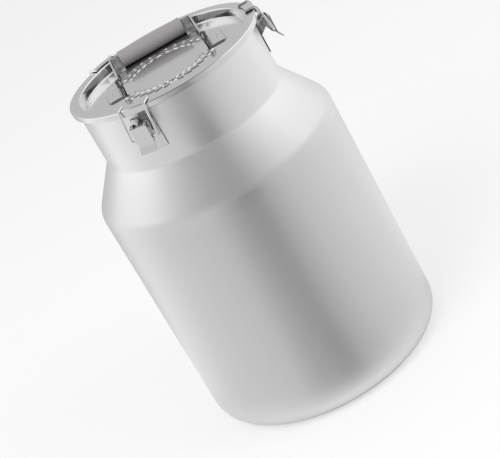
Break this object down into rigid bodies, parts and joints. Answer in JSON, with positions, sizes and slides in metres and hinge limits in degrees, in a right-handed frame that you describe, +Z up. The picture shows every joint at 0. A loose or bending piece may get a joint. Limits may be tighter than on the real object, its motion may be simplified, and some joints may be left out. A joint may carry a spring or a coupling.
{
  "type": "milk can",
  "caption": "Stainless steel milk can: round body, cone shoulder, wide straight neck, dished lid with a leaf wreath, folding handle and wire toggle latches.",
  "frame": {"origin": "centre of the circle that the can stands on, at the standing face", "axes": "+Z up the can's axis, -Y is the front, +X to the right as seen from the front"},
  "size_m": [0.25, 0.25, 0.3678],
  "materials": {
    "body_steel": "fine satin stainless steel",
    "lid_steel": "polished stainless steel",
    "bracket_steel": "pressed stainless sheet",
    "strap_steel": "flat stainless strap",
    "rivet_steel": "steel rivet",
    "latch_steel": "stamped stainless steel",
    "wire_steel": "bright drawn wire",
    "grip": "smooth grey moulded sleeve",
    "seal": "white food silicone"
  },
  "bodies": {
    "can": {"can_body": "body_steel", "shoulder_neck": "body_steel", "front_latch_base": "latch_steel", "front_latch_pin": "rivet_steel", "right_latch_base": "latch_steel", "right_latch_pin": "rivet_steel", "rear_latch_base": "latch_steel", "rear_latch_pin": "rivet_steel"},
    "lid": {"lid": "lid_steel", "lid_seal": "seal", "bracket_left": "bracket_steel", "bracket_right": "bracket_steel", "handle_rivet_left": "rivet_steel", "handle_rivet_right": "rivet_steel"},
    "handle": {"handle_strap": "strap_steel", "handle_grip": "grip"},
    "front_lever": {"front_latch_lever": "latch_steel"},
    "front_hook": {"front_latch_wire": "wire_steel", "front_latch_clamp": "latch_steel"},
    "right_lever": {"right_latch_lever": "latch_steel"},
    "right_hook": {"right_latch_wire": "wire_steel", "right_latch_clamp": "latch_steel"},
    "rear_lever": {"rear_latch_lever": "latch_steel"},
    "rear_hook": {"rear_latch_wire": "wire_steel", "rear_latch_clamp": "latch_steel"}
  },
  "joints": [
    {"name": "lid_lift", "type": "slide", "parent": "can", "child": "lid", "axis": [0, 0, 1], "range_m": [0, 0.02]},
    {"name": "handle_swing", "type": "hinge", "parent": "lid", "child": "handle", "pos_m": [0, 0, 0.3593], "axis": [1, 0, 0], "range_deg": [0, 180]},
    {"name": "front_lever_turn", "type": "hinge", "parent": "can", "child": "front_lever", "pos_m": [-0.04618, -0.09263, 0.343], "axis": [-0.8949, 0.4462, 0], "range_deg": [0, 110]},
    {"name": "front_hook_turn", "type": "hinge", "parent": "front_lever", "child": "front_hook", "pos_m": [-0.04752, -0.09531, 0.332], "axis": [0.8949, -0.4462, 0], "range_deg": [0, 260]},
    {"name": "right_lever_turn", "type": "hinge", "parent": "can", "child": "right_lever", "pos_m": [0.10331, 0.00632, 0.343], "axis": [0.061, -0.9981, 0], "range_deg": [0, 110]},
    {"name": "right_hook_turn", "type": "hinge", "parent": "right_lever", "child": "right_hook", "pos_m": [0.1063, 0.0065, 0.332], "axis": [-0.061, 0.9981, 0], "range_deg": [0, 260]},
    {"name": "rear_lever_turn", "type": "hinge", "parent": "can", "child": "rear_lever", "pos_m": [-0.05713, 0.08631, 0.343], "axis": [0.8339, 0.5519, 0], "range_deg": [0, 110]},
    {"name": "rear_hook_turn", "type": "hinge", "parent": "rear_lever", "child": "rear_hook", "pos_m": [-0.05878, 0.08881, 0.332], "axis": [-0.8339, -0.5519, 0], "range_deg": [0, 260]}
  ],
  "couplings": [
    {"joint": "front_lever_turn", "follows": "lid_lift", "rad_per_m": 95.993},
    {"joint": "front_hook_turn", "follows": "lid_lift", "rad_per_m": 226.89},
    {"joint": "right_lever_turn", "follows": "lid_lift", "rad_per_m": 95.993},
    {"joint": "right_hook_turn", "follows": "lid_lift", "rad_per_m": 226.89},
    {"joint": "rear_lever_turn", "follows": "lid_lift", "rad_per_m": 95.993},
    {"joint": "rear_hook_turn", "follows": "lid_lift", "rad_per_m": 226.89}
  ]
}
